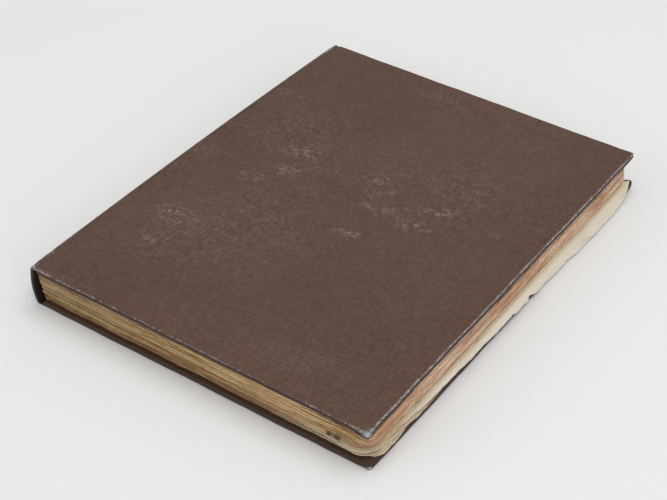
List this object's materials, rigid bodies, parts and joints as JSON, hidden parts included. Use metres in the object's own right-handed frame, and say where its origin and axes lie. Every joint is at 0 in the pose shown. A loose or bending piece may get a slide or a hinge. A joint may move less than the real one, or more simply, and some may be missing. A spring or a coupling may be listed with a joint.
{
  "type": "scrapbook album",
  "caption": "Case-bound scrapbook album lying closed, with worn cloth-covered boards, a flat spine, sewn heavy leaves and a loose sheet that slides out; it opens at the cover and at the leaves.",
  "frame": {"origin": "centre of the back cover's underside", "axes": "+X from the spine to the fore-edge, +Y along the spine, +Z from the back cover to the front cover"},
  "size_m": [0.2886, 0.38, 0.032],
  "materials": {
    "greyboard": "matte",
    "bookcloth": "matte",
    "endpaper": "matte",
    "album_leaf": "matte",
    "top_leaf": "matte",
    "guard_paper": "matte",
    "linen_tape": "matte",
    "linen_thread": "matte",
    "mull": "matte",
    "spine_paper": "matte",
    "clipping": "matte",
    "print": "satin",
    "loose_paper": "matte"
  },
  "bodies": {
    "back_cover": {"back_board": "greyboard", "back_cover_cloth": "bookcloth", "back_joint_cloth": "bookcloth", "back_pastedown": "endpaper", "back_flyleaf": "endpaper", "lower_section_1": "album_leaf", "lower_section_2": "album_leaf", "lower_guards": "guard_paper", "lower_tapes": "linen_tape", "lower_sewing": "linen_thread", "lower_mull": "mull", "lower_clippings": "clipping"},
    "spine": {"spine_board": "greyboard", "spine_cloth": "bookcloth", "spine_lining": "spine_paper"},
    "upper_leaves": {"upper_section_1": "album_leaf", "upper_section_2": "album_leaf", "upper_section_3": "album_leaf", "upper_section_4": "album_leaf", "upper_section_5": "album_leaf", "upper_section_6": "album_leaf", "upper_section_7": "album_leaf", "upper_guards": "guard_paper", "upper_tapes": "linen_tape", "upper_sewing": "linen_thread", "upper_mull": "mull", "facing_prints": "print", "upper_clippings": "clipping"},
    "top_leaves": {"top_section_1": "top_leaf", "top_section_2": "top_leaf", "top_guards": "guard_paper", "top_tapes": "linen_tape", "top_sewing": "linen_thread", "top_mull": "mull", "top_prints": "print", "front_flyleaf": "endpaper"},
    "front_cover": {"front_board": "greyboard", "front_cover_cloth": "bookcloth", "front_joint_cloth": "bookcloth", "front_pastedown": "endpaper"},
    "loose_sheet": {"loose_sheet": "loose_paper"}
  },
  "joints": [
    {"name": "spine_fold", "type": "hinge", "parent": "back_cover", "child": "spine", "pos_m": [-0.1425, 0, 0], "axis": [0, -1, 0], "range_deg": [0, 90]},
    {"name": "block_fold", "type": "hinge", "parent": "spine", "child": "upper_leaves", "pos_m": [-0.1425, 0, 0.032], "axis": [0, -1, 0], "range_deg": [0, 90]},
    {"name": "top_leaves_turn", "type": "hinge", "parent": "upper_leaves", "child": "top_leaves", "pos_m": [-0.1425, 0, 0.0322], "axis": [0, -1, 0], "range_deg": [0, 179.8]},
    {"name": "front_cover_turn", "type": "hinge", "parent": "top_leaves", "child": "front_cover", "pos_m": [-0.1425, 0, 0.0322], "axis": [0, -1, 0], "range_deg": [0, 179.6]},
    {"name": "loose_sheet_pull", "type": "slide", "parent": "back_cover", "child": "loose_sheet", "axis": [1, 0, 0], "range_m": [0, 0.25]}
  ],
  "couplings": [
    {"joint": "block_fold", "follows": "spine_fold", "ratio": 1}
  ]
}
